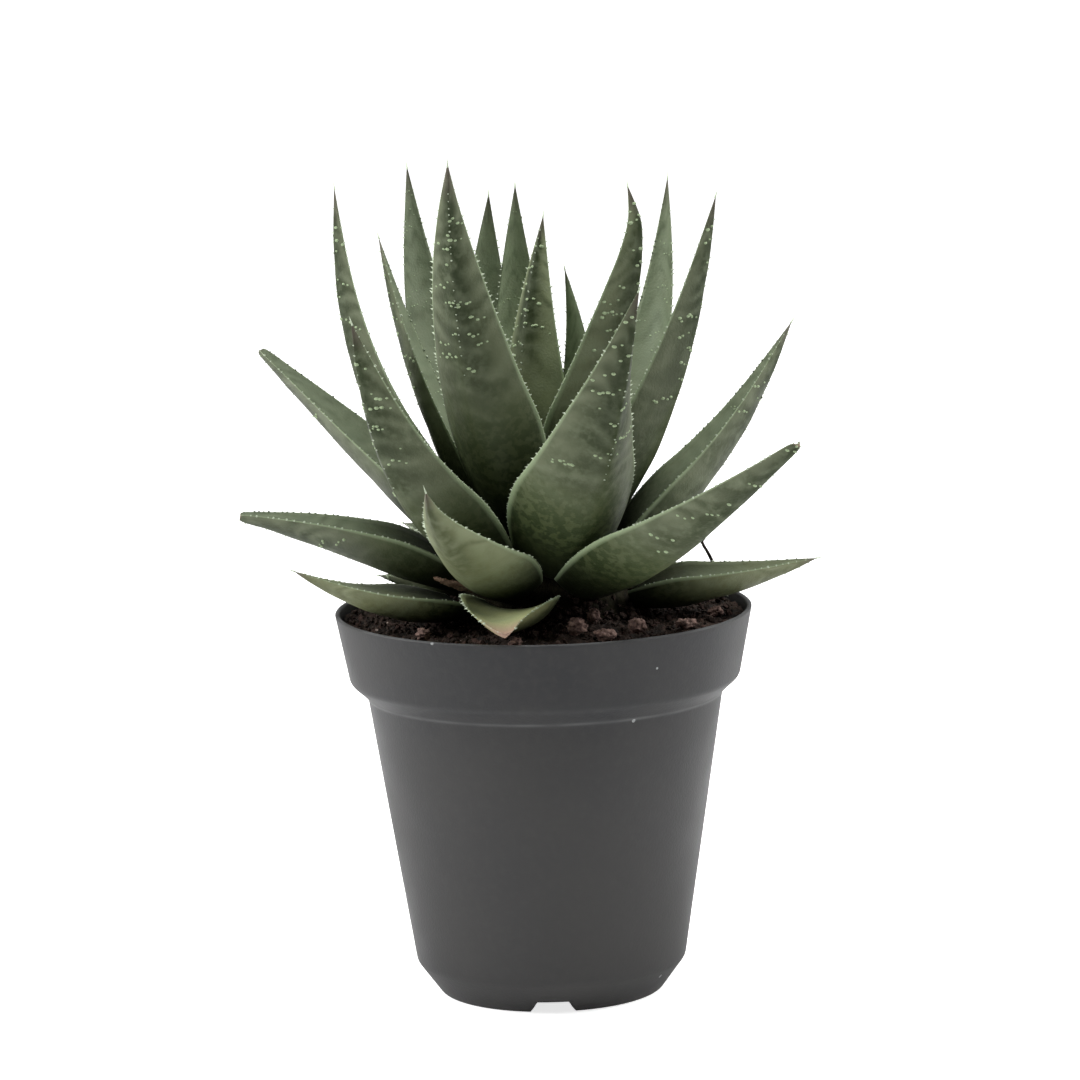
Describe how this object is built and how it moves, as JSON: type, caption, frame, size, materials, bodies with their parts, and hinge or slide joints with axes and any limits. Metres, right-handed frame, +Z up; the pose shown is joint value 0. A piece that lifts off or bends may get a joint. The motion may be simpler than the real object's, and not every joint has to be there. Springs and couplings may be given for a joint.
{
  "type": "potted haworthia",
  "caption": "Rosette of stiff, pointed succulent leaves growing from soil in a tapered round nursery pot with a stacking band and a notched foot.",
  "frame": {"origin": "centre of the pot's underside, on the plane that the pot stands on", "axes": "+Z up along the pot's axis, +X to the right of the front view, -Y towards the front view"},
  "size_m": [0.1647, 0.1728, 0.2462],
  "materials": {
    "pot": "satin",
    "soil": "matte",
    "crown": "matte",
    "bark": "matte",
    "dried_leaf": "matte",
    "root_fibre": "matte",
    "leaf": "satin"
  },
  "bodies": {
    "root": {"bark_chip_1": "bark", "bark_chip_2": "bark", "bark_chip_3": "bark", "bark_chip_4": "bark", "bark_chip_5": "bark", "bark_chip_6": "bark", "bark_chip_7": "bark", "bark_chip_8": "bark", "bark_chip_9": "bark", "crown": "crown", "dried_leaf_left": "dried_leaf", "dried_leaf_right": "dried_leaf", "leaf_back_narrow": "leaf", "leaf_back_right": "leaf", "leaf_back_tall": "leaf", "leaf_curled_front": "leaf", "leaf_front_left": "leaf", "leaf_front_right": "leaf", "leaf_heart": "leaf", "leaf_heart_back": "leaf", "leaf_heart_right": "leaf", "leaf_low_back": "leaf", "leaf_low_back_left": "leaf", "leaf_low_back_right": "leaf", "leaf_low_left": "leaf", "leaf_low_right": "leaf", "leaf_mid_back_right": "leaf", "leaf_mid_left": "leaf", "leaf_mid_right": "leaf", "leaf_right_hooked": "leaf", "leaf_rim_back": "leaf", "leaf_rim_back_left": "leaf", "leaf_rim_back_right": "leaf", "leaf_rim_front": "leaf", "leaf_rim_left": "leaf", "leaf_rim_right": "leaf", "leaf_slim_left": "leaf", "leaf_tall_front": "leaf", "leaf_tall_left": "leaf", "leaf_tall_right": "leaf", "pot": "pot", "root_fibre": "root_fibre", "soil": "soil"}
  },
  "joints": []
}
